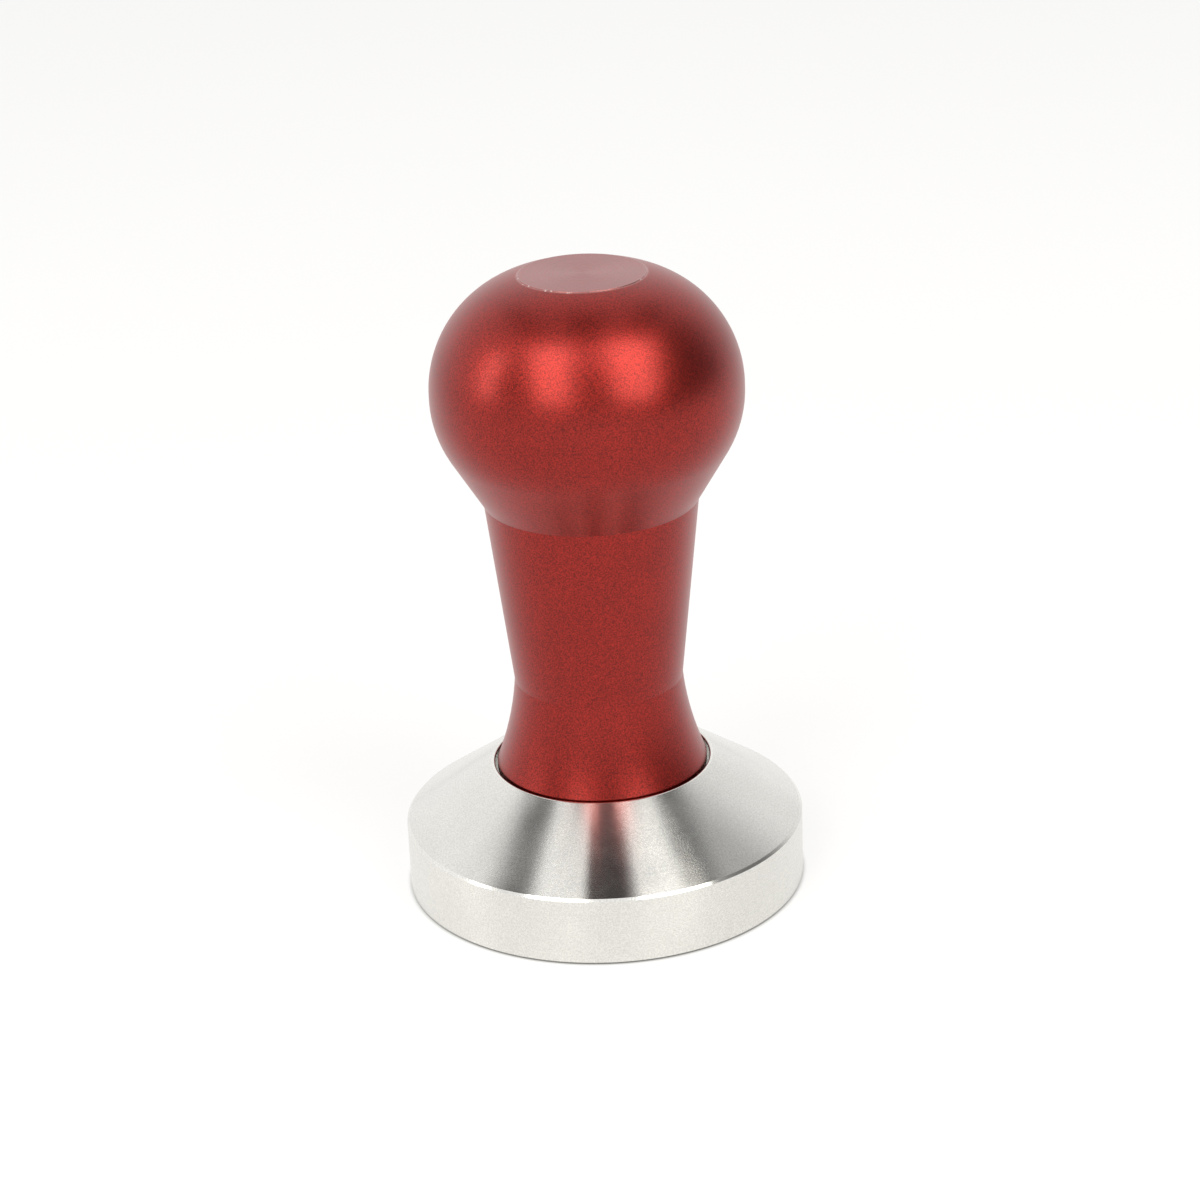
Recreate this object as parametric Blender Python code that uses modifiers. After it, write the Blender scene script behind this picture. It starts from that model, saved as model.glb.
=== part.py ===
"""Espresso tamper: a turned aluminium handle screwed onto a 58 mm stainless base.

The frame stands on the centre of the tamping face, +Z up, in metres. The handle unscrews about +Z,
carried by an M8 stud that is locked in its foot, with a rubber washer between foot and base.
"""

import math

import bmesh
import bpy
from mathutils import Vector

MM = 0.001

# Base
BASE_DIAMETER = 58.0 * MM
WALL_HEIGHT = 10.0 * MM
BASE_HEIGHT = 18.8 * MM
FACE_EDGE_BREAK = 0.3 * MM
RIM_CHAMFER = 0.35 * MM
RECESS_DEPTH = 3.0 * MM
RECESS_CLEARANCE = 0.4 * MM
RECESS_CHAMFER = 0.25 * MM

# Handle, turned from one bar
HANDLE_LENGTH = 74.7 * MM
FOOT_DIAMETER = 30.5 * MM
FOOT_CHAMFER = 0.3 * MM
FLARE_HEIGHT = 13.05 * MM
FLARE_RADIUS = 45.0 * MM
WAIST_DIAMETER = 24.3 * MM
NECK_DIAMETER = 30.5 * MM
BALL_DIAMETER = 44.1 * MM
BALL_LAND = 0.55 * MM
BELLY_RADIUS = 16.2 * MM
BELLY_ANGLE = math.radians(31)
CROWN_RADIUS = 17.0 * MM
CROWN_CHAMFER = 0.12 * MM
TOP_FLAT_DIAMETER = 18.0 * MM

# Washer, and the gap that each piece keeps to what it rests on
WASHER_THICKNESS = 1.0 * MM
WASHER_INSET = 2.25 * MM
WASHER_ROUND = 0.2 * MM
SEAT_GAP = 0.3 * MM

# M8 x 1.25 thread
THREAD_MAJOR = 7.9 * MM
THREAD_PITCH = 1.25 * MM
THREAD_DEPTH = 0.56 * THREAD_PITCH
THREAD_GAP = 0.12 * MM
THREAD_FLANK_ANGLE = math.radians(30)
TAP_DRILL_EASE = 0.08 * MM

# Stud and tapped holes
STUD_LENGTH = 20.0 * MM
STUD_IN_BASE = 8.8 * MM
STUD_CHAMFER = 0.8 * MM
SOCKET_ACROSS_FLATS = 4.0 * MM
SOCKET_DEPTH = 4.0 * MM
HOLE_END_SPACE = 1.0 * MM
HOLE_CHAMFER = 0.5 * MM
DRILL_POINT_ANGLE = math.radians(118)

# Heights that follow from the sizes above
RECESS_FLOOR = BASE_HEIGHT - RECESS_DEPTH
WASHER_BOTTOM = RECESS_FLOOR + SEAT_GAP
HANDLE_BOTTOM = WASHER_BOTTOM + WASHER_THICKNESS + SEAT_GAP
HANDLE_TOP = HANDLE_BOTTOM + HANDLE_LENGTH
WAIST_HEIGHT = BASE_HEIGHT + FLARE_HEIGHT
STUD_BOTTOM = RECESS_FLOOR - STUD_IN_BASE
STUD_TOP = STUD_BOTTOM + STUD_LENGTH

# Facets
BODY_STEPS = 64
BASE_STEPS = 80
THREAD_STEPS = 24
ARC_STEP = math.radians(7.5)
SMOOTH_ANGLE = math.radians(30)
OVERSHOOT = 1.0 * MM


def clear_scene():
    for obj in list(bpy.data.objects):
        bpy.data.objects.remove(obj, do_unlink=True)


def new_collection(name):
    collection = bpy.data.collections.new(name)
    bpy.context.scene.collection.children.link(collection)
    return collection


def new_material(name, colour, metallic, roughness):
    material = bpy.data.materials.new(name)
    material.use_nodes = True
    shader = material.node_tree.nodes["Principled BSDF"]
    shader.inputs["Base Color"].default_value = (*colour, 1.0)
    shader.inputs["Metallic"].default_value = metallic
    shader.inputs["Roughness"].default_value = roughness
    return material


def arc(centre, radius, start, end):
    """Points (radius, height) along an arc, both ends included."""
    steps = max(2, math.ceil(abs(end - start) / ARC_STEP))
    angles = [start + (end - start) * i / steps for i in range(steps + 1)]
    return [
        (centre[0] + radius * math.cos(a), centre[1] + radius * math.sin(a))
        for a in angles
    ]


def turned(name, profile, steps, collection, closed=False):
    """A solid of revolution about Z from (radius, height) points running down its outer side."""
    mesh = bpy.data.meshes.new(name)
    points = [(radius, 0.0, height) for radius, height in profile]
    edges = [(i, i + 1) for i in range(len(points) - 1)]
    if closed:
        edges.append((len(points) - 1, 0))
    mesh.from_pydata(points, edges, [])
    obj = bpy.data.objects.new(name, mesh)
    collection.objects.link(obj)
    screw = obj.modifiers.new("Turn", "SCREW")
    screw.axis = "Z"
    screw.steps = steps
    screw.render_steps = steps
    screw.use_merge_vertices = True
    screw.merge_threshold = 0.00001
    return obj


def turned_cutter(name, profile, cutters):
    """A turned tool for threads, its edges half a facet away from theirs so that no edges cross."""
    tool = turned(name, profile, THREAD_STEPS, cutters)
    tool.rotation_euler.z = math.pi / THREAD_STEPS
    return tool


def thread_profile(grow):
    """One pitch of a 60 degree thread as (radius, height) points, each side moved out by grow."""
    crest = THREAD_MAJOR / 2 + grow
    root = THREAD_MAJOR / 2 - THREAD_DEPTH + grow
    slope = math.tan(THREAD_FLANK_ANGLE)
    half_crest = THREAD_PITCH / 16 + grow * (1 - slope)
    half_root = half_crest + THREAD_DEPTH * slope
    middle = THREAD_PITCH / 2
    return [
        (root, 0.0),
        (root, middle - half_root),
        (crest, middle - half_crest),
        (crest, middle + half_crest),
        (root, middle + half_root),
        (root, THREAD_PITCH),
    ]


def threaded_rod(name, bottom, top, grow, collection):
    """A helical rod that reaches past bottom and top, on the one helix that all the threads share."""
    first = math.floor((bottom - RECESS_FLOOR) / THREAD_PITCH) - 1
    last = math.ceil((top - RECESS_FLOOR) / THREAD_PITCH) + 1
    turns = last - first
    start = RECESS_FLOOR + first * THREAD_PITCH

    bm = bmesh.new()
    line = [bm.verts.new((radius, 0.0, start + height)) for radius, height in thread_profile(grow)]
    edges = [bm.edges.new(pair) for pair in zip(line, line[1:])]
    bmesh.ops.spin(
        bm,
        geom=line + edges,
        cent=(0.0, 0.0, 0.0),
        axis=(0.0, 0.0, 1.0),
        dvec=(0.0, 0.0, THREAD_PITCH / THREAD_STEPS),
        angle=math.tau * turns,
        steps=THREAD_STEPS * turns,
    )
    bmesh.ops.remove_doubles(bm, verts=bm.verts, dist=0.000001)

    middle = start + THREAD_PITCH * (turns + 1) / 2
    rims = [edge for edge in bm.edges if edge.is_boundary]
    for below in (True, False):
        rim = [edge for edge in rims if (edge.verts[0].co.z < middle) == below]
        drawn = bmesh.ops.extrude_edge_only(bm, edges=rim)["geom"]
        inner = [item for item in drawn if isinstance(item, bmesh.types.BMVert)]
        height = start if below else start + THREAD_PITCH * (turns + 1)
        bmesh.ops.pointmerge(bm, verts=inner, merge_co=Vector((0.0, 0.0, height)))
    bmesh.ops.recalc_face_normals(bm, faces=bm.faces)

    mesh = bpy.data.meshes.new(name)
    bm.to_mesh(mesh)
    bm.free()
    obj = bpy.data.objects.new(name, mesh)
    collection.objects.link(obj)
    return obj


def boolean(obj, operation, cutter, solver="EXACT"):
    modifier = obj.modifiers.new(cutter.name, "BOOLEAN")
    modifier.operation = operation
    modifier.solver = solver
    modifier.object = cutter


def hide_cutters(cutters):
    for obj in cutters.objects:
        obj.hide_render = True
        obj.display_type = "WIRE"


def finish(obj, material):
    """Makes the modifiers' result the object's own mesh, smooth over its round faces."""
    graph = bpy.context.evaluated_depsgraph_get()
    mesh = bpy.data.meshes.new_from_object(obj.evaluated_get(graph))
    rough = obj.data
    obj.modifiers.clear()
    obj.data = mesh
    bpy.data.meshes.remove(rough)
    mesh.name = obj.name
    mesh.materials.clear()
    mesh.materials.append(material)
    mesh.shade_smooth()
    mesh.set_sharp_from_angle(angle=SMOOTH_ANGLE)


def tapped_hole(name, mouth, depth, direction, cutters):
    """A cutter for a blind tapped hole that goes up (+1) or down (-1) from its mouth."""
    drill_radius = THREAD_MAJOR / 2 - THREAD_DEPTH + THREAD_GAP + TAP_DRILL_EASE
    tap_radius = THREAD_MAJOR / 2 + THREAD_GAP
    mouth_radius = tap_radius + HOLE_CHAMFER
    point = depth + HOLE_END_SPACE + drill_radius / math.tan(DRILL_POINT_ANGLE / 2)

    outline = [
        (0.0, -OVERSHOOT),
        (mouth_radius, -OVERSHOOT),
        (mouth_radius, 0.0),
        (drill_radius, mouth_radius - drill_radius),
        (drill_radius, depth + HOLE_END_SPACE),
        (0.0, point),
    ]
    thread_end = depth + HOLE_END_SPACE / 2
    sleeve_radius = tap_radius + OVERSHOOT
    sleeve = [
        (0.0, -OVERSHOOT),
        (sleeve_radius, -OVERSHOOT),
        (sleeve_radius, thread_end - (sleeve_radius - drill_radius)),
        (drill_radius, thread_end),
        (0.0, thread_end),
    ]
    if direction > 0:
        outline.reverse()
        sleeve.reverse()
    outline = [(radius, mouth + direction * height) for radius, height in outline]
    sleeve = [(radius, mouth + direction * height) for radius, height in sleeve]
    drill = turned_cutter(name + "_drill", outline, cutters)
    length = turned_cutter(name + "_length", sleeve, cutters)
    ends = sorted((mouth - direction * OVERSHOOT, mouth + direction * (depth + HOLE_END_SPACE)))
    tap = threaded_rod(name + "_tap", ends[0], ends[1], THREAD_GAP, cutters)
    boolean(tap, "INTERSECT", length, solver="MANIFOLD")
    boolean(tap, "UNION", drill, solver="MANIFOLD")
    return tap


def base_profile():
    radius = BASE_DIAMETER / 2
    recess = FOOT_DIAMETER / 2 + RECESS_CLEARANCE
    return [
        (0.0, RECESS_FLOOR),
        (recess, RECESS_FLOOR),
        (recess, BASE_HEIGHT - RECESS_CHAMFER),
        (recess + RECESS_CHAMFER, BASE_HEIGHT),
        (radius - RIM_CHAMFER, WALL_HEIGHT + RIM_CHAMFER / 2),
        (radius, WALL_HEIGHT - RIM_CHAMFER / 2),
        (radius, FACE_EDGE_BREAK),
        (radius - FACE_EDGE_BREAK, 0.0),
        (0.0, 0.0),
    ]


def ball_profile():
    """From the edge of the flat top, over crown, land and belly, down the lower cone to the neck."""
    radius = BALL_DIAMETER / 2
    top_angle = math.acos((TOP_FLAT_DIAMETER / 2 - radius + CROWN_RADIUS) / CROWN_RADIUS)
    equator = HANDLE_TOP - CROWN_CHAMFER - CROWN_RADIUS * math.sin(top_angle)
    crown = arc((radius - CROWN_RADIUS, equator), CROWN_RADIUS, top_angle, 0.0)
    belly = arc((radius - BELLY_RADIUS, equator - BALL_LAND), BELLY_RADIUS, 0.0, -BELLY_ANGLE)
    cone_top = belly[-1]
    neck_radius = NECK_DIAMETER / 2
    neck_height = cone_top[1] - (cone_top[0] - neck_radius) / math.tan(BELLY_ANGLE)
    return [*crown, *belly, (neck_radius, neck_height)]


def flare_profile():
    """The hollow arc from the waist out to the foot, which it meets level with the base's top edge."""
    waist = Vector((WAIST_DIAMETER / 2, WAIST_HEIGHT))
    foot = Vector((FOOT_DIAMETER / 2, BASE_HEIGHT))
    chord = foot - waist
    rise = math.sqrt(FLARE_RADIUS**2 - chord.length_squared / 4)
    outward = Vector((-chord.y, chord.x)).normalized()
    centre = (waist + foot) / 2 + outward * rise
    start = math.atan2(waist.y - centre.y, waist.x - centre.x)
    end = math.atan2(foot.y - centre.y, foot.x - centre.x)
    return arc(centre, FLARE_RADIUS, start, start + math.remainder(end - start, math.tau))


def handle_profile():
    foot = FOOT_DIAMETER / 2
    return [
        (0.0, HANDLE_TOP),
        (TOP_FLAT_DIAMETER / 2 - CROWN_CHAMFER, HANDLE_TOP),
        *ball_profile(),
        *flare_profile(),
        (foot, HANDLE_BOTTOM + FOOT_CHAMFER),
        (foot - FOOT_CHAMFER, HANDLE_BOTTOM),
        (0.0, HANDLE_BOTTOM),
    ]


def washer_profile():
    inner = THREAD_MAJOR / 2 + SEAT_GAP
    outer = FOOT_DIAMETER / 2 - WASHER_INSET
    bottom = WASHER_BOTTOM
    top = WASHER_BOTTOM + WASHER_THICKNESS
    return [
        (inner, top),
        (outer - WASHER_ROUND, top),
        (outer, top - WASHER_ROUND),
        (outer, bottom + WASHER_ROUND),
        (outer - WASHER_ROUND, bottom),
        (inner, bottom),
    ]


def stud_profile():
    """The stud's blank: a bar over the thread's crests, chamfered at both ends."""
    bar = THREAD_MAJOR / 2 + THREAD_GAP
    tip = bar - STUD_CHAMFER
    return [
        (0.0, STUD_TOP),
        (tip, STUD_TOP),
        (bar, STUD_TOP - STUD_CHAMFER),
        (bar, STUD_BOTTOM + STUD_CHAMFER),
        (tip, STUD_BOTTOM),
        (0.0, STUD_BOTTOM),
    ]


def make_base(parts, cutters):
    base = turned("tamper_base", base_profile(), BASE_STEPS, parts)
    hole = tapped_hole("base_hole", RECESS_FLOOR, STUD_IN_BASE, -1, cutters)
    boolean(base, "DIFFERENCE", hole, solver="MANIFOLD")
    finish(base, new_material("stainless_steel", (0.56, 0.55, 0.53), 1.0, 0.28))


def make_handle(parts, cutters):
    handle = turned("handle", handle_profile(), BODY_STEPS, parts)
    hole = tapped_hole("handle_hole", HANDLE_BOTTOM, STUD_TOP - HANDLE_BOTTOM, 1, cutters)
    boolean(handle, "DIFFERENCE", hole, solver="MANIFOLD")
    finish(handle, new_material("red_anodised_aluminium", (0.33, 0.02, 0.03), 1.0, 0.36))


def make_washer(parts):
    washer = turned("friction_washer", washer_profile(), BODY_STEPS, parts, closed=True)
    finish(washer, new_material("black_rubber", (0.02, 0.02, 0.02), 0.0, 0.7))


def make_stud(parts, cutters):
    stud = threaded_rod("threaded_stud", STUD_BOTTOM, STUD_TOP, 0.0, parts)
    blank = turned_cutter("stud_blank", stud_profile(), cutters)
    boolean(stud, "INTERSECT", blank, solver="MANIFOLD")

    mesh = bpy.data.meshes.new("hex_socket")
    bm = bmesh.new()
    bmesh.ops.create_cone(
        bm,
        cap_ends=True,
        segments=6,
        radius1=SOCKET_ACROSS_FLATS / math.sqrt(3),
        radius2=SOCKET_ACROSS_FLATS / math.sqrt(3),
        depth=SOCKET_DEPTH + OVERSHOOT,
    )
    bm.to_mesh(mesh)
    bm.free()
    socket = bpy.data.objects.new("hex_socket", mesh)
    socket.location.z = STUD_BOTTOM + (SOCKET_DEPTH - OVERSHOOT) / 2
    cutters.objects.link(socket)
    boolean(stud, "DIFFERENCE", socket, solver="MANIFOLD")
    finish(stud, new_material("zinc_plated_steel", (0.62, 0.62, 0.6), 1.0, 0.3))


def main():
    clear_scene()
    parts = new_collection("espresso_tamper")
    cutters = new_collection("cutters")
    make_base(parts, cutters)
    make_washer(parts)
    make_stud(parts, cutters)
    make_handle(parts, cutters)
    hide_cutters(cutters)


main()
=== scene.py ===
"""Espresso tamper: finer meshes, finishes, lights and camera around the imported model."""

import math

import bmesh
import bpy
from mathutils import Matrix, Vector


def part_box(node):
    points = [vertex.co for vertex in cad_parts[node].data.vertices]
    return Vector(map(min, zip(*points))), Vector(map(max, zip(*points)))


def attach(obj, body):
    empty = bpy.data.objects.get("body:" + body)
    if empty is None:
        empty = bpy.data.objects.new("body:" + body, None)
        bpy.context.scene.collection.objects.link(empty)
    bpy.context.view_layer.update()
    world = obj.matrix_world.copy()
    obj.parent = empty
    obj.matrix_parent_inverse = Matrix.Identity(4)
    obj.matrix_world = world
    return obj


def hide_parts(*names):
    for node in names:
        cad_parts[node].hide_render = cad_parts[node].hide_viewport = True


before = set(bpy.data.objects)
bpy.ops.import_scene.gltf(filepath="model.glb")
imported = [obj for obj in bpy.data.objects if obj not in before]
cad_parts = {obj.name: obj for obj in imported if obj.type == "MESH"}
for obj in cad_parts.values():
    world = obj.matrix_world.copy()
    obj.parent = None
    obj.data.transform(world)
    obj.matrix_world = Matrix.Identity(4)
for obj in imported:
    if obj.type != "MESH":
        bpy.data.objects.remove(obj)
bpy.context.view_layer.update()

MM = 0.001

# Base
BASE_DIAMETER = 58.0 * MM
WALL_HEIGHT = 10.0 * MM
FACE_EDGE_BREAK = 0.3 * MM
RIM_CHAMFER = 0.35 * MM
RECESS_DEPTH = 3.0 * MM
RECESS_CLEARANCE = 0.4 * MM
RECESS_LIP_RADIUS = 0.35 * MM

# Handle
FOOT_DIAMETER = 30.5 * MM
FOOT_CHAMFER = 0.3 * MM
FLARE_HEIGHT = 13.05 * MM
FLARE_RADIUS = 45.0 * MM
WAIST_DIAMETER = 24.3 * MM
NECK_DIAMETER = 30.5 * MM
BALL_LAND = 0.55 * MM
BELLY_RADIUS = 16.2 * MM
BELLY_ANGLE = math.radians(31)
CROWN_RADIUS = 17.0 * MM
CROWN_CHAMFER = 0.12 * MM
TOP_FLAT_DIAMETER = 18.0 * MM

# Washer
WASHER_ROUND = 0.2 * MM
SEAT_GAP = 0.3 * MM

# M8 x 1.25 thread, stud and tapped holes
THREAD_MAJOR = 7.9 * MM
THREAD_PITCH = 1.25 * MM
THREAD_DEPTH = 0.56 * THREAD_PITCH
THREAD_GAP = 0.12 * MM
THREAD_FLANK_ANGLE = math.radians(30)
TAP_DRILL_EASE = 0.08 * MM
STUD_CHAMFER = 0.8 * MM
SOCKET_ACROSS_FLATS = 4.0 * MM
SOCKET_DEPTH = 4.0 * MM
HOLE_END_SPACE = 1.0 * MM
HOLE_CHAMFER = 0.5 * MM
DRILL_POINT_ANGLE = math.radians(118)

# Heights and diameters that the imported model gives
BASE_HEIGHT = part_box("tamper_base")[1].z
HANDLE_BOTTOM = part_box("handle")[0].z
HANDLE_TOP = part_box("handle")[1].z
BALL_DIAMETER = 2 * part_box("handle")[1].x
WASHER_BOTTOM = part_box("friction_washer")[0].z
WASHER_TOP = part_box("friction_washer")[1].z
WASHER_DIAMETER = 2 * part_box("friction_washer")[1].x
STUD_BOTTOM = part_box("threaded_stud")[0].z
STUD_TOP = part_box("threaded_stud")[1].z
RECESS_FLOOR = BASE_HEIGHT - RECESS_DEPTH
WAIST_HEIGHT = BASE_HEIGHT + FLARE_HEIGHT

# Facets
BODY_STEPS = 192
THREAD_STEPS = 48
ARC_STEP = math.radians(2)
EDGE_STEP = math.radians(7.5)
SHARP_ANGLE = math.radians(8)
OVERSHOOT = 1.0 * MM
WELD = 0.001 * MM
SLIVER = 0.002 * MM

# Base colours of the finishes
ANODISED_RED = (0.245, 0.0115, 0.0068)
# Pale colour painted on the edge of the flat top: a painted edge highlight.
PAINTED_EDGE_HIGHLIGHT = (0.80, 0.62, 0.60)
# The cone's steel, toned darker than the wall's: painted shade.
CONE_STEEL_PAINTED_SHADE = (0.745, 0.738, 0.71)
POLISHED_STEEL = (0.80, 0.79, 0.76)
GROUND_STEEL = (0.72, 0.71, 0.68)
# The wall's steel, toned lighter than the cone's: painted light.
WALL_STEEL_PAINTED_LIGHT = (0.775, 0.765, 0.73)
ZINC = (0.66, 0.67, 0.64)
CLEAN_RUBBER = (0.018, 0.018, 0.018)
DUSTY_RUBBER = (0.045, 0.044, 0.042)

# Sizes of the marks in the finishes
BLAST_GRAIN = 0.20 * MM
FACING_MARKS = 0.26 * MM
FACED_GRAIN = 0.15 * MM
DYE_CLOUDS = 9 * MM
# Size of the breaks in the painted highlight on the edge of the flat top, and the width of that
# highlight.
HIGHLIGHT_BREAKS = 0.9 * MM
HIGHLIGHT_WIDTH = 0.30 * MM
TURNING_MARKS = 0.09 * MM
STEEL_GRAIN = 0.24 * MM
STEEL_FILM = 14 * MM
RUBBER_DUST = 1.2 * MM
RUBBER_GRAIN = 0.12 * MM

# Turns the tangent, in turns, so that the marks run round the axis
BRUSH_ROTATION = 0.25

# Camera, from the fit of the profile to the photo
CAMERA_PLACE = (0.0, -0.4343, 0.2257)
CAMERA_PITCH = 0.3978
CAMERA_YAW = 0.0014
CAMERA_ROLL = -0.0417
CAMERA_LENS = 98.73
SENSOR_WIDTH = 36.0
CAMERA_NEAR = 0.01

# Room
LIGHT_DISTANCE = 0.9
LAMP_TINT = (1.0, 0.97, 0.89)
LIGHT_AIM = Vector((0.0, 0.0, 0.05))
FLOOR_SIZE = 8.0
FLOOR_CLOUDS = 0.25
FLOOR_TONE = 0.85
FLOOR_TONE_SEEN = 0.30
FLOOR_GLOW_SEEN = 0.66
CONTACT_SHADOW = 0.8 * MM
WALL_TINT = (1.0, 0.995, 0.985, 1.0)
GLOW_TINT = (1.0, 1.0, 1.0, 1.0)
WALL_LEVEL = 1.06
RIGHT_LEVEL = 0.78
TOP_LEVEL = 0.86
DARK_LEVEL = 0.04
BAND_DARKNESS = 0.82
FRONT_DARKNESS = 0.70
RIGHT_DARKNESS = 0.72


# ---------------------------------------------------------------- shapes

def arc(centre, radius, start, end, step=ARC_STEP):
    """Points (radius, height) along an arc, both ends included."""
    steps = max(2, math.ceil(abs(end - start) / step))
    angles = [start + (end - start) * i / steps for i in range(steps + 1)]
    return [
        (centre[0] + radius * math.cos(a), centre[1] + radius * math.sin(a))
        for a in angles
    ]


def link_mesh(name, bm):
    """A new object in the scene from bm, which is freed."""
    mesh = bpy.data.meshes.new(name)
    bm.to_mesh(mesh)
    bm.free()
    obj = bpy.data.objects.new(name, mesh)
    bpy.context.scene.collection.objects.link(obj)
    return obj


def turned(name, profile, steps, closed=False, twist=0.0):
    """A solid of revolution about Z from (radius, height) points, joined end to end if closed."""
    bm = bmesh.new()
    rings = []
    for radius, height in profile:
        if radius == 0.0:
            rings.append([bm.verts.new((0.0, 0.0, height))])
            continue
        ring = []
        for i in range(steps):
            angle = twist + math.tau * i / steps
            ring.append(bm.verts.new((radius * math.cos(angle), radius * math.sin(angle), height)))
        rings.append(ring)
    pairs = list(zip(rings, rings[1:]))
    if closed:
        pairs.append((rings[-1], rings[0]))
    for upper, lower in pairs:
        for i in range(steps):
            j = (i + 1) % steps
            if len(upper) == 1:
                bm.faces.new((upper[0], lower[i], lower[j]))
            elif len(lower) == 1:
                bm.faces.new((upper[i], lower[0], upper[j]))
            else:
                bm.faces.new((upper[i], lower[i], lower[j], upper[j]))
    bmesh.ops.recalc_face_normals(bm, faces=bm.faces)
    return link_mesh(name, bm)


def thread_profile(grow):
    """One pitch of a 60 degree thread as (radius, height) points, each side moved out by grow."""
    crest = THREAD_MAJOR / 2 + grow
    root = THREAD_MAJOR / 2 - THREAD_DEPTH + grow
    slope = math.tan(THREAD_FLANK_ANGLE)
    half_crest = THREAD_PITCH / 16 + grow * (1 - slope)
    half_root = half_crest + THREAD_DEPTH * slope
    middle = THREAD_PITCH / 2
    return [
        (root, 0.0),
        (root, middle - half_root),
        (crest, middle - half_crest),
        (crest, middle + half_crest),
        (root, middle + half_root),
        (root, THREAD_PITCH),
    ]


def threaded_rod(name, bottom, top, grow):
    """A helical rod that reaches past bottom and top, on the one helix that all the threads share."""
    first = math.floor((bottom - RECESS_FLOOR) / THREAD_PITCH) - 1
    last = math.ceil((top - RECESS_FLOOR) / THREAD_PITCH) + 1
    turns = last - first
    start = RECESS_FLOOR + first * THREAD_PITCH

    bm = bmesh.new()
    line = [bm.verts.new((radius, 0.0, start + height)) for radius, height in thread_profile(grow)]
    edges = [bm.edges.new(pair) for pair in zip(line, line[1:])]
    bmesh.ops.spin(
        bm,
        geom=line + edges,
        cent=(0.0, 0.0, 0.0),
        axis=(0.0, 0.0, 1.0),
        dvec=(0.0, 0.0, THREAD_PITCH / THREAD_STEPS),
        angle=math.tau * turns,
        steps=THREAD_STEPS * turns,
    )
    bmesh.ops.remove_doubles(bm, verts=bm.verts, dist=WELD)

    middle = start + THREAD_PITCH * (turns + 1) / 2
    rims = [edge for edge in bm.edges if edge.is_boundary]
    for below in (True, False):
        rim = [edge for edge in rims if (edge.verts[0].co.z < middle) == below]
        drawn = bmesh.ops.extrude_edge_only(bm, edges=rim)["geom"]
        inner = [item for item in drawn if isinstance(item, bmesh.types.BMVert)]
        height = start if below else start + THREAD_PITCH * (turns + 1)
        bmesh.ops.pointmerge(bm, verts=inner, merge_co=Vector((0.0, 0.0, height)))
    bmesh.ops.recalc_face_normals(bm, faces=bm.faces)
    return link_mesh(name, bm)


def cut(obj, operation, tool):
    """Applies a Boolean with tool, which is then removed."""
    modifier = obj.modifiers.new(tool.name, "BOOLEAN")
    modifier.operation = operation
    modifier.solver = "MANIFOLD"
    modifier.object = tool
    bpy.context.view_layer.update()
    graph = bpy.context.evaluated_depsgraph_get()
    mesh = bpy.data.meshes.new_from_object(obj.evaluated_get(graph))
    rough = obj.data
    obj.modifiers.clear()
    obj.data = mesh
    bpy.data.meshes.remove(rough)
    used = tool.data
    bpy.data.objects.remove(tool)
    bpy.data.meshes.remove(used)


def tapped_hole(mouth, depth, direction):
    """A cutter for a blind tapped hole that goes up (+1) or down (-1) from its mouth."""
    drill_radius = THREAD_MAJOR / 2 - THREAD_DEPTH + THREAD_GAP + TAP_DRILL_EASE
    tap_radius = THREAD_MAJOR / 2 + THREAD_GAP
    mouth_radius = tap_radius + HOLE_CHAMFER
    sleeve_radius = tap_radius + OVERSHOOT
    thread_end = depth + HOLE_END_SPACE / 2
    point = depth + HOLE_END_SPACE + drill_radius / math.tan(DRILL_POINT_ANGLE / 2)
    outline = [
        (0.0, -OVERSHOOT),
        (mouth_radius, -OVERSHOOT),
        (mouth_radius, 0.0),
        (drill_radius, mouth_radius - drill_radius),
        (drill_radius, depth + HOLE_END_SPACE),
        (0.0, point),
    ]
    sleeve = [
        (0.0, -OVERSHOOT),
        (sleeve_radius, -OVERSHOOT),
        (sleeve_radius, thread_end - (sleeve_radius - drill_radius)),
        (drill_radius, thread_end),
        (0.0, thread_end),
    ]
    outline = [(radius, mouth + direction * height) for radius, height in outline]
    sleeve = [(radius, mouth + direction * height) for radius, height in sleeve]
    half_step = math.pi / THREAD_STEPS
    ends = sorted((mouth - direction * OVERSHOOT, mouth + direction * (depth + HOLE_END_SPACE)))
    tap = threaded_rod("tap", ends[0], ends[1], THREAD_GAP)
    cut(tap, "INTERSECT", turned("sleeve", sleeve, THREAD_STEPS, twist=half_step))
    cut(tap, "UNION", turned("drill", outline, THREAD_STEPS, twist=half_step))
    return tap


def base_profile():
    """From the axis over the recess floor, up its wall, down the outside and in under the base."""
    radius = BASE_DIAMETER / 2
    recess = FOOT_DIAMETER / 2 + RECESS_CLEARANCE
    lip_centre = (recess + RECESS_LIP_RADIUS, BASE_HEIGHT - RECESS_LIP_RADIUS)
    cone_slope = math.atan2(BASE_HEIGHT - WALL_HEIGHT, radius - lip_centre[0])
    lip = arc(lip_centre, RECESS_LIP_RADIUS, math.pi, math.pi / 2 - cone_slope, EDGE_STEP)
    return [
        (0.0, RECESS_FLOOR),
        (recess, RECESS_FLOOR),
        *lip,
        (radius - RIM_CHAMFER, WALL_HEIGHT + RIM_CHAMFER / 2),
        (radius, WALL_HEIGHT - RIM_CHAMFER / 2),
        (radius, FACE_EDGE_BREAK),
        (radius - FACE_EDGE_BREAK, 0.0),
        (0.0, 0.0),
    ]


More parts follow.
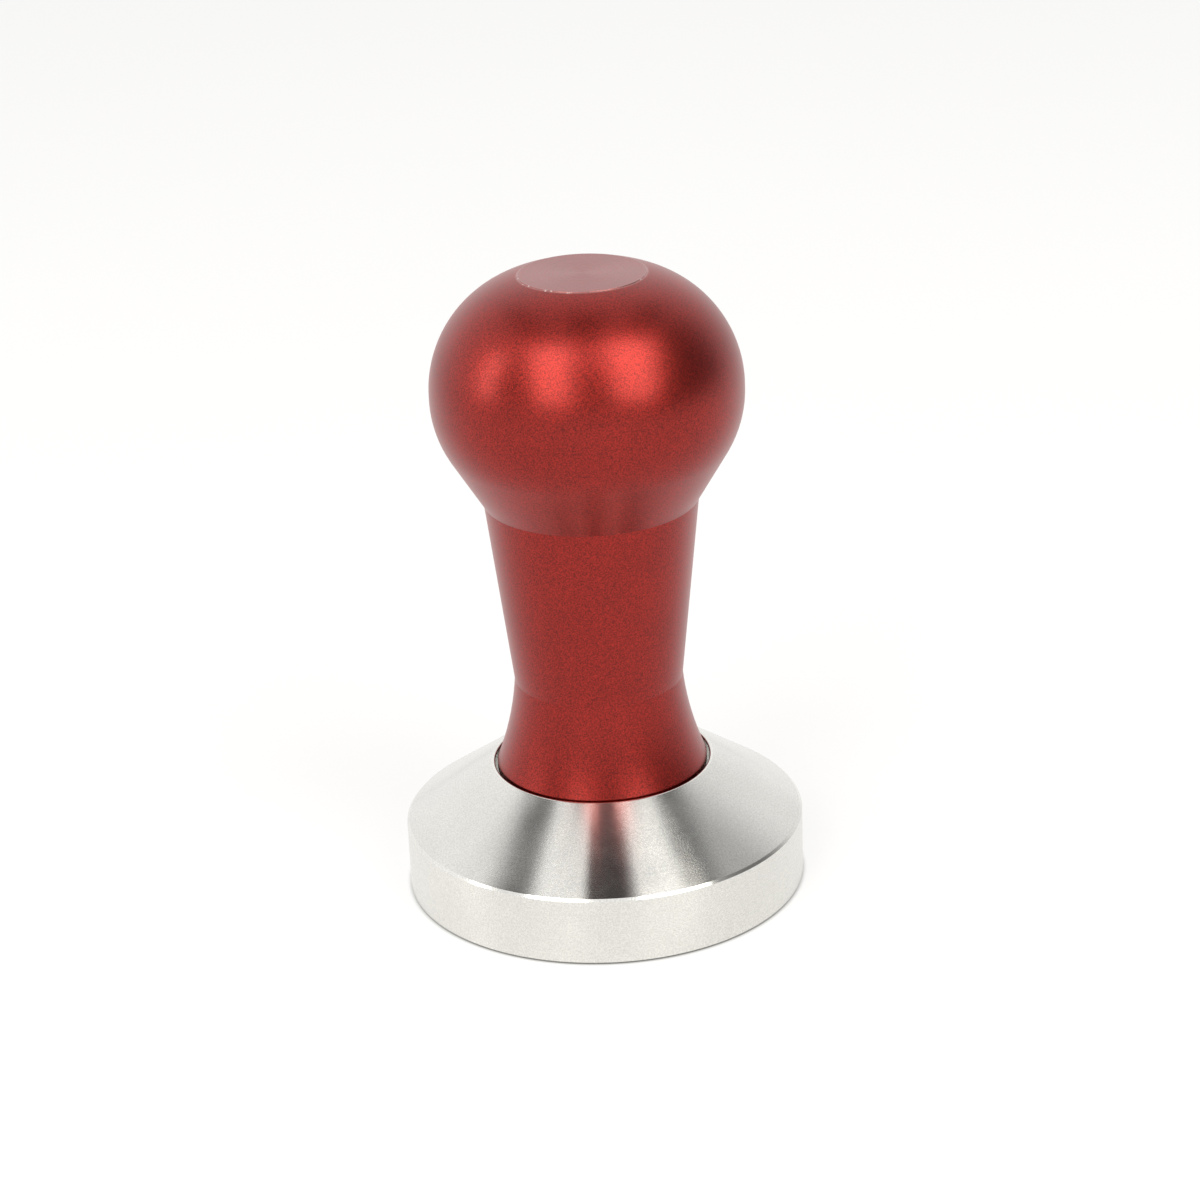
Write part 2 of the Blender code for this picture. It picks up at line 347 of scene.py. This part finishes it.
def ball_profile():
    """From the edge of the flat top, over crown, land and belly, down the lower cone to the neck."""
    radius = BALL_DIAMETER / 2
    top_angle = math.acos((TOP_FLAT_DIAMETER / 2 - radius + CROWN_RADIUS) / CROWN_RADIUS)
    equator = HANDLE_TOP - CROWN_CHAMFER - CROWN_RADIUS * math.sin(top_angle)
    crown = arc((radius - CROWN_RADIUS, equator), CROWN_RADIUS, top_angle, 0.0)
    belly = arc((radius - BELLY_RADIUS, equator - BALL_LAND), BELLY_RADIUS, 0.0, -BELLY_ANGLE)
    cone_top = belly[-1]
    neck_radius = NECK_DIAMETER / 2
    neck_height = cone_top[1] - (cone_top[0] - neck_radius) / math.tan(BELLY_ANGLE)
    return [*crown, *belly, (neck_radius, neck_height)]


def flare_profile():
    """The hollow arc from the waist out to the foot, which it meets level with the base's top edge."""
    waist = Vector((WAIST_DIAMETER / 2, WAIST_HEIGHT))
    foot = Vector((FOOT_DIAMETER / 2, BASE_HEIGHT))
    chord = foot - waist
    rise = math.sqrt(FLARE_RADIUS**2 - chord.length_squared / 4)
    outward = Vector((-chord.y, chord.x)).normalized()
    centre = (waist + foot) / 2 + outward * rise
    start = math.atan2(waist.y - centre.y, waist.x - centre.x)
    end = math.atan2(foot.y - centre.y, foot.x - centre.x)
    return arc(centre, FLARE_RADIUS, start, start + math.remainder(end - start, math.tau))


def handle_profile():
    """From the middle of the flat top down the outside to the middle of the foot."""
    foot = FOOT_DIAMETER / 2
    return [
        (0.0, HANDLE_TOP),
        (TOP_FLAT_DIAMETER / 2 - CROWN_CHAMFER, HANDLE_TOP),
        *ball_profile(),
        *flare_profile(),
        (foot, HANDLE_BOTTOM + FOOT_CHAMFER),
        (foot - FOOT_CHAMFER, HANDLE_BOTTOM),
        (0.0, HANDLE_BOTTOM),
    ]


def washer_profile():
    """A flat ring with rounded outer edges, whose hole clears the stud's thread."""
    inner = THREAD_MAJOR / 2 + SEAT_GAP
    outer = WASHER_DIAMETER / 2
    high_centre = (outer - WASHER_ROUND, WASHER_TOP - WASHER_ROUND)
    low_centre = (outer - WASHER_ROUND, WASHER_BOTTOM + WASHER_ROUND)
    high = arc(high_centre, WASHER_ROUND, math.pi / 2, 0.0, EDGE_STEP)
    low = arc(low_centre, WASHER_ROUND, 0.0, -math.pi / 2, EDGE_STEP)
    return [(inner, WASHER_TOP), *high, *low, (inner, WASHER_BOTTOM)]


def stud_blank_profile():
    """A bar over the thread's crests, chamfered at both ends."""
    bar = THREAD_MAJOR / 2 + THREAD_GAP
    tip = bar - STUD_CHAMFER
    return [
        (0.0, STUD_TOP),
        (tip, STUD_TOP),
        (bar, STUD_TOP - STUD_CHAMFER),
        (bar, STUD_BOTTOM + STUD_CHAMFER),
        (tip, STUD_BOTTOM),
        (0.0, STUD_BOTTOM),
    ]


# ---------------------------------------------------------------- finishes

class Nodes:
    """Short calls that add the nodes of one tree."""

    def __init__(self, tree):
        self.tree = tree

    def give(self, socket, value):
        """Sets a socket, or links it where value is another node's output."""
        if isinstance(value, bpy.types.NodeSocket):
            self.tree.links.new(value, socket)
        else:
            socket.default_value = value

    def add(self, kind, **inputs):
        """A new node, with its inputs by name, with _ for a space."""
        node = self.tree.nodes.new(kind)
        for name, value in inputs.items():
            self.give(node.inputs[name.replace("_", " ")], value)
        return node

    def maths(self, operation, first, second=0.0):
        node = self.tree.nodes.new("ShaderNodeMath")
        node.operation = operation
        self.give(node.inputs[0], first)
        self.give(node.inputs[1], second)
        return node.outputs[0]

    def product(self, first, *others):
        for other in others:
            first = self.maths("MULTIPLY", first, other)
        return first

    def ramp(self, value, low, high, low_out=0.0, high_out=1.0):
        """value between low and high, taken smoothly to low_out and high_out."""
        node = self.tree.nodes.new("ShaderNodeMapRange")
        node.interpolation_type = "SMOOTHSTEP"
        for slot, number in enumerate((value, low, high, low_out, high_out)):
            self.give(node.inputs[slot], number)
        return node.outputs[0]

    def fade(self, value, start, end):
        """1 where value is below start, falling smoothly to 0 at end."""
        return self.ramp(value, start, end, 1.0, 0.0)


class Finish(Nodes):
    """A procedural material: a Principled shader, and short calls for the nodes in front of it."""

    def __init__(self, name):
        self.material = bpy.data.materials.new(name)
        self.material.use_nodes = True
        super().__init__(self.material.node_tree)
        self.shader = self.tree.nodes["Principled BSDF"]
        self.place = self.add("ShaderNodeTexCoord").outputs["Object"]
        split = self.add("ShaderNodeSeparateXYZ", Vector=self.place)
        self.height = split.outputs["Z"]
        across = self.maths("MULTIPLY", split.outputs["X"], split.outputs["X"])
        along = self.maths("MULTIPLY", split.outputs["Y"], split.outputs["Y"])
        self.radius = self.maths("SQRT", self.maths("ADD", across, along))

    def grain(self, size, detail=2.0):
        """Noise from 0 to 1 with features of about size, the same in every direction."""
        noise = self.add(
            "ShaderNodeTexNoise", Vector=self.place, Scale=1 / size, Detail=detail, Roughness=0.6
        )
        return noise.outputs["Fac"]

    def rings(self, size):
        """Noise that changes only across the turning marks, which run round the axis."""
        node = self.tree.nodes.new("ShaderNodeTexNoise")
        node.noise_dimensions = "1D"
        across = self.maths("SUBTRACT", self.radius, self.height)
        self.give(node.inputs["W"], self.maths("DIVIDE", across, size))
        self.give(node.inputs["Scale"], 1.0)
        self.give(node.inputs["Detail"], 3.0)
        return node.outputs["Fac"]

    def mix(self, factor, first, second, mode="MIX"):
        """The colour first, with second mixed in by factor."""
        node = self.tree.nodes.new("ShaderNodeMix")
        node.data_type = "RGBA"
        node.blend_type = mode
        for name, value in (("Factor_Float", factor), ("A_Color", first), ("B_Color", second)):
            socket = next(s for s in node.inputs if s.identifier == name)
            self.give(socket, (*value, 1.0) if isinstance(value, tuple) else value)
        return next(s for s in node.outputs if s.identifier == "Result_Color")

    def shade(self, colour, *levels):
        """colour times each level."""
        for level in levels:
            grey = self.add("ShaderNodeCombineColor", Red=level, Green=level, Blue=level).outputs[0]
            colour = self.mix(1.0, colour, grey, "MULTIPLY")
        return colour

    def bump(self, height, depth, strength, under=None):
        """A normal with bumps of the given depth, over the normal under."""
        node = self.add("ShaderNodeBump", Height=height, Strength=strength, Distance=depth)
        if under is not None:
            self.give(node.inputs["Normal"], under)
        return node.outputs["Normal"]

    def brush(self, amount):
        """Stretches the reflections across marks that run round the axis."""
        node = self.tree.nodes.new("ShaderNodeTangent")
        node.direction_type = "RADIAL"
        node.axis = "Z"
        self.set(Tangent=node.outputs[0], Anisotropic=amount, Anisotropic_Rotation=BRUSH_ROTATION)

    def set(self, **inputs):
        """Principled inputs by name, with _ for a space."""
        for name, value in inputs.items():
            self.give(self.shader.inputs[name.replace("_", " ")], value)


def anodised(f, dark_speck, light_speck):
    """The red of the anodising, speckled, with a pale painted highlight in specks along the edge of the
    flat top.
    """
    speck = f.ramp(f.grain(BLAST_GRAIN, 1.0), 0.2, 0.8, dark_speck, light_speck)
    cloud = f.ramp(f.grain(DYE_CLOUDS, 2.0), 0.3, 0.7, 0.95, 1.05)
    # A painted highlight along the edge of the flat top, broken into specks.
    from_edge = f.maths("ABSOLUTE", f.maths("SUBTRACT", f.radius, TOP_FLAT_DIAMETER / 2))
    rim = f.fade(from_edge, 0.0, HIGHLIGHT_WIDTH)
    top = f.ramp(f.height, HANDLE_TOP - 0.6 * MM, HANDLE_TOP - 0.2 * MM)
    highlight_breaks = f.ramp(f.grain(HIGHLIGHT_BREAKS, 3.0), 0.60, 0.68, 0.22, 1.0)
    return f.mix(f.product(rim, top, highlight_breaks), f.shade(ANODISED_RED, speck, cloud), PAINTED_EDGE_HIGHLIGHT)


def blasted_anodising():
    """Red anodised aluminium, bead blasted."""
    f = Finish("blasted_red_anodising")
    pits = f.grain(BLAST_GRAIN, 3.0)
    f.set(Base_Color=anodised(f, 0.52, 1.68), Metallic=1.0, Roughness=f.ramp(pits, 0.2, 0.8, 0.32, 0.40))
    f.set(Coat_Weight=0.35, Coat_IOR=1.6, Coat_Roughness=0.32)
    f.set(Normal=f.bump(pits, 0.012 * MM, 0.8))
    return f.material


def faced_anodising():
    """Red anodised aluminium with the rings of a facing tool."""
    f = Finish("faced_red_anodising")
    marks = f.rings(FACING_MARKS)
    colour = f.shade(anodised(f, 0.80, 1.25), f.ramp(marks, 0.3, 0.7, 0.86, 1.18))
    f.set(Base_Color=colour, Metallic=1.0, Roughness=f.ramp(marks, 0.2, 0.8, 0.26, 0.36))
    f.set(Coat_Weight=0.6, Coat_IOR=1.6, Coat_Roughness=0.22)
    f.brush(0.5)
    f.set(Normal=f.bump(marks, 0.010 * MM, 0.8, f.bump(f.grain(FACED_GRAIN), 0.004 * MM, 0.4)))
    return f.material


def steel(name, colour, roughness, anisotropy, mark_depth):
    """Bare or plated steel with fine turning marks round the axis."""
    f = Finish(name)
    marks = f.rings(TURNING_MARKS)
    grain = f.grain(STEEL_GRAIN, 1.0)
    film = f.grain(STEEL_FILM, 3.0)
    tone = f.shade(
        colour,
        f.ramp(marks, 0.2, 0.8, 0.96, 1.03),
        f.ramp(grain, 0.25, 0.75, 0.91, 1.06),
        f.ramp(film, 0.3, 0.7, 0.97, 1.02),
    )
    wear = f.ramp(film, 0.3, 0.7, roughness - 0.025, roughness + 0.025)
    fine = f.ramp(marks, 0.2, 0.8, -0.03, 0.03)
    f.set(Base_Color=tone, Metallic=1.0, Roughness=f.maths("ADD", wear, fine))
    f.brush(anisotropy)
    f.set(Normal=f.bump(marks, mark_depth, 0.5, f.bump(grain, 0.003 * MM, 0.4)))
    return f.material


def rubber(name):
    """Matt black rubber, a little dusty."""
    f = Finish(name)
    dust = f.grain(RUBBER_DUST, 4.0)
    fine = f.grain(RUBBER_GRAIN, 2.0)
    colour = f.mix(f.ramp(dust, 0.45, 0.75), CLEAN_RUBBER, DUSTY_RUBBER)
    f.set(Base_Color=colour, Roughness=f.ramp(dust, 0.3, 0.7, 0.62, 0.78))
    f.set(Normal=f.bump(fine, 0.02 * MM, 0.7))
    return f.material


# ---------------------------------------------------------------- pieces

def collapse_slivers(mesh):
    """Takes out the edges of almost no length that the Booleans leave."""
    bm = bmesh.new()
    bm.from_mesh(mesh)
    bmesh.ops.dissolve_degenerate(bm, dist=SLIVER, edges=bm.edges)
    bm.to_mesh(mesh)
    bm.free()


def dress(obj, materials, pick=None):
    """Gives obj its materials, by face where pick says which, and smooth round faces."""
    mesh = obj.data
    mesh.name = obj.name
    collapse_slivers(mesh)
    mesh.materials.clear()
    for material in materials:
        mesh.materials.append(material)
    if pick is not None:
        for face in mesh.polygons:
            face.material_index = pick(face)
    mesh.shade_smooth()
    mesh.set_sharp_from_angle(angle=SHARP_ANGLE)


def join_frame(obj, body, node):
    """Ties obj to its body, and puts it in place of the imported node."""
    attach(obj, body)
    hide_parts(node)


def base_face(face):
    """0 for the cone and recess, 1 for the polished edges, 2 for the tamping face, 3 for the wall."""
    height = face.center.z
    reach = math.hypot(face.center.x, face.center.y)
    upright = abs(face.normal.z) < 0.1
    level = abs(face.normal.z) > 0.9
    outside = reach > BASE_DIAMETER / 2 - RIM_CHAMFER
    lip_reach = FOOT_DIAMETER / 2 + RECESS_CLEARANCE + 1.5 * RECESS_LIP_RADIUS
    rim = outside and abs(height - WALL_HEIGHT) < RIM_CHAMFER
    lip = height > BASE_HEIGHT - RECESS_LIP_RADIUS and reach < lip_reach
    foot = height < FACE_EDGE_BREAK
    if rim or lip or (foot and not upright and not level):
        return 1
    if outside and upright:
        return 3
    return 2 if foot and level else 0


def make_base():
    base = turned("steel_base", base_profile(), BODY_STEPS)
    cut(base, "DIFFERENCE", tapped_hole(RECESS_FLOOR, RECESS_FLOOR - STUD_BOTTOM, -1))
    # Cone and wall are one steel. The cone's darker colour is painted shade, and the wall's lighter
    # colour is painted light.
    cone = steel("turned_steel_cone_painted_shade", CONE_STEEL_PAINTED_SHADE, 0.15, 0.92, 0.002 * MM)
    polished = steel("polished_stainless_steel", POLISHED_STEEL, 0.12, 0.3, 0.0005 * MM)
    ground = steel("ground_stainless_steel", GROUND_STEEL, 0.24, 0.7, 0.002 * MM)
    wall = steel("turned_steel_wall_painted_light", WALL_STEEL_PAINTED_LIGHT, 0.25, 0.9, 0.002 * MM)
    dress(base, [cone, polished, ground, wall], base_face)
    join_frame(base, "base", "tamper_base")


def handle_face(face):
    """0 for the blasted body, 1 for the faced top."""
    return 1 if face.center.z > HANDLE_TOP - CROWN_CHAMFER / 4 else 0


def make_handle():
    handle = turned("anodised_handle", handle_profile(), BODY_STEPS)
    cut(handle, "DIFFERENCE", tapped_hole(HANDLE_BOTTOM, STUD_TOP - HANDLE_BOTTOM, 1))
    dress(handle, [blasted_anodising(), faced_anodising()], handle_face)
    join_frame(handle, "handle", "handle")


def make_washer():
    washer = turned("rubber_washer", washer_profile(), BODY_STEPS, closed=True)
    dress(washer, [rubber("black_rubber_finish")])
    join_frame(washer, "washer", "friction_washer")


def make_stud():
    stud = threaded_rod("plated_stud", STUD_BOTTOM, STUD_TOP, 0.0)
    half_step = math.pi / THREAD_STEPS
    cut(stud, "INTERSECT", turned("blank", stud_blank_profile(), THREAD_STEPS, twist=half_step))
    corner = SOCKET_ACROSS_FLATS / math.sqrt(3)
    hexagon = [
        (0.0, STUD_BOTTOM - OVERSHOOT),
        (corner, STUD_BOTTOM - OVERSHOOT),
        (corner, STUD_BOTTOM + SOCKET_DEPTH),
        (0.0, STUD_BOTTOM + SOCKET_DEPTH),
    ]
    cut(stud, "DIFFERENCE", turned("hexagon", hexagon, 6))
    dress(stud, [steel("zinc_plated_steel", ZINC, 0.26, 0.4, 0.001 * MM)])
    join_frame(stud, "handle", "threaded_stud")


# ---------------------------------------------------------------- room

def make_camera():
    camera = bpy.data.objects.new("camera", bpy.data.cameras.new("camera"))
    camera.data.lens = CAMERA_LENS
    camera.data.sensor_width = SENSOR_WIDTH
    camera.data.clip_start = CAMERA_NEAR
    turn = Matrix.Rotation(-CAMERA_YAW, 4, "Z")
    tilt = Matrix.Rotation(math.pi / 2 - CAMERA_PITCH, 4, "X")
    roll = Matrix.Rotation(CAMERA_ROLL, 4, "Z")
    camera.matrix_world = Matrix.Translation(CAMERA_PLACE) @ turn @ tilt @ roll
    bpy.context.scene.collection.objects.link(camera)
    bpy.context.scene.camera = camera


def softbox(name, azimuth, elevation, width, height, level, lean):
    """An area lamp at an azimuth and elevation in degrees, turned by lean about the way it shines.

    Azimuth 0 is the camera's side and 90 is the right.
    """
    a = math.radians(azimuth)
    e = math.radians(elevation)
    towards = Vector((math.sin(a) * math.cos(e), -math.cos(a) * math.cos(e), math.sin(e)))
    light = bpy.data.lights.new(name, "AREA")
    light.shape = "RECTANGLE"
    light.size = width
    light.size_y = height
    light.energy = level * math.pi * width * height
    light.color = LAMP_TINT
    lamp = bpy.data.objects.new(name, light)
    lamp.location = LIGHT_AIM + towards * LIGHT_DISTANCE
    facing = towards.to_track_quat("Z", "Y").to_matrix()
    lamp.rotation_euler = (facing @ Matrix.Rotation(-math.radians(lean), 3, "Z")).to_euler()
    lamp.visible_camera = False
    bpy.context.scene.collection.objects.link(lamp)


def make_world():
    """A pale room with dark parts, which lights the object and shows in it; the camera sees white.

    x, y and z are the parts of a direction: to the right, away from the camera and up.
    """
    world = bpy.data.worlds.new("room")
    world.use_nodes = True
    bpy.context.scene.world = world
    background = world.node_tree.nodes["Background"]
    n = Nodes(world.node_tree)
    direction = n.add("ShaderNodeTexCoord").outputs["Generated"]
    x, y, z = n.add("ShaderNodeSeparateXYZ", Vector=direction).outputs
    aside = n.maths("ABSOLUTE", x)

    slot = n.product(
        n.ramp(x, -0.155, -0.085), n.fade(x, 0.07, 0.21), n.ramp(y, -0.36, -0.28), n.fade(y, 0.14, 0.36)
    )
    band = n.product(
        n.ramp(aside, 0.34, 0.42, 0.0, BAND_DARKNESS), n.fade(aside, 0.50, 0.60), n.ramp(y, -0.30, -0.12)
    )
    ceiling = n.product(n.maths("MAXIMUM", slot, band), n.ramp(z, 0.62, 0.80))
    front = n.product(
        n.fade(y, -0.30, 0.02), n.ramp(z, 0.05, 0.30, 0.25, 1.0), n.fade(z, 0.66, 0.82), FRONT_DARKNESS
    )
    right = n.product(n.ramp(x, 0.35, 0.80, 0.0, RIGHT_DARKNESS), n.fade(y, 0.20, 0.80))
    dark = n.maths("MAXIMUM", n.maths("MAXIMUM", front, right), ceiling)

    walls = n.ramp(dark, 0.0, 1.0, WALL_LEVEL, DARK_LEVEL)
    rightward = n.ramp(x, 0.20, 0.95, 1.0, RIGHT_LEVEL)
    upward = n.ramp(z, 0.85, 0.98, 1.0, TOP_LEVEL)
    level = n.product(walls, rightward, upward)
    seen = n.add("ShaderNodeLightPath").outputs["Is Camera Ray"]
    n.give(background.inputs["Strength"], n.ramp(seen, 0.0, 1.0, level, 1.0))
    n.give(background.inputs["Color"], WALL_TINT)


def make_floor():
    """A floor that bounces light as pale card does, and that camera and metal see as near white, with a
    painted contact shadow in its glow near the object.
    """
    mesh = bpy.data.meshes.new("floor")
    half = FLOOR_SIZE / 2
    corners = [(-half, -half, 0.0), (half, -half, 0.0), (half, half, 0.0), (-half, half, 0.0)]
    mesh.from_pydata(corners, [], [(0, 1, 2, 3)])
    floor = bpy.data.objects.new("floor", mesh)
    bpy.context.scene.collection.objects.link(floor)

    f = Finish("white_floor")
    tone = f.ramp(f.grain(FLOOR_CLOUDS), 0.3, 0.7, 0.985, 1.0)
    card = f.add("ShaderNodeBsdfDiffuse", Color=f.shade((FLOOR_TONE,) * 3, tone))
    shaded = f.add("ShaderNodeBsdfDiffuse", Color=f.shade((FLOOR_TONE_SEEN,) * 3, tone))
    # The glow fades by ambient occlusion near the object: a painted contact shadow.
    open_air = f.add("ShaderNodeAmbientOcclusion", Distance=CONTACT_SHADOW).outputs["AO"]
    glow = f.add("ShaderNodeEmission", Color=GLOW_TINT)
    f.give(glow.inputs["Strength"], f.ramp(open_air, 0.0, 1.0, 0.0, FLOOR_GLOW_SEEN))
    white = f.tree.nodes.new("ShaderNodeAddShader")
    f.give(white.inputs[0], shaded.outputs[0])
    f.give(white.inputs[1], glow.outputs[0])

    path = f.add("ShaderNodeLightPath").outputs
    seen = f.maths("MAXIMUM", path["Is Camera Ray"], path["Is Glossy Ray"])
    seen = f.maths("MAXIMUM", seen, path["Is Transmission Ray"])
    choose = f.add("ShaderNodeMixShader", Fac=seen)
    f.give(choose.inputs[1], card.outputs[0])
    f.give(choose.inputs[2], white.outputs[0])
    f.give(f.tree.nodes["Material Output"].inputs["Surface"], choose.outputs[0])
    mesh.materials.append(f.material)


make_camera()
make_base()
make_washer()
make_stud()
make_handle()
make_world()
softbox("front_left", azimuth=-31, elevation=40, width=0.40, height=0.88, level=4.1, lean=-18)
softbox("front_right", azimuth=43, elevation=39.5, width=0.50, height=0.88, level=4.0, lean=20)
softbox("side_left", azimuth=-81, elevation=24, width=0.17, height=0.52, level=4.7, lean=-12)
make_floor()
bpy.context.scene.view_settings.view_transform = "Standard"
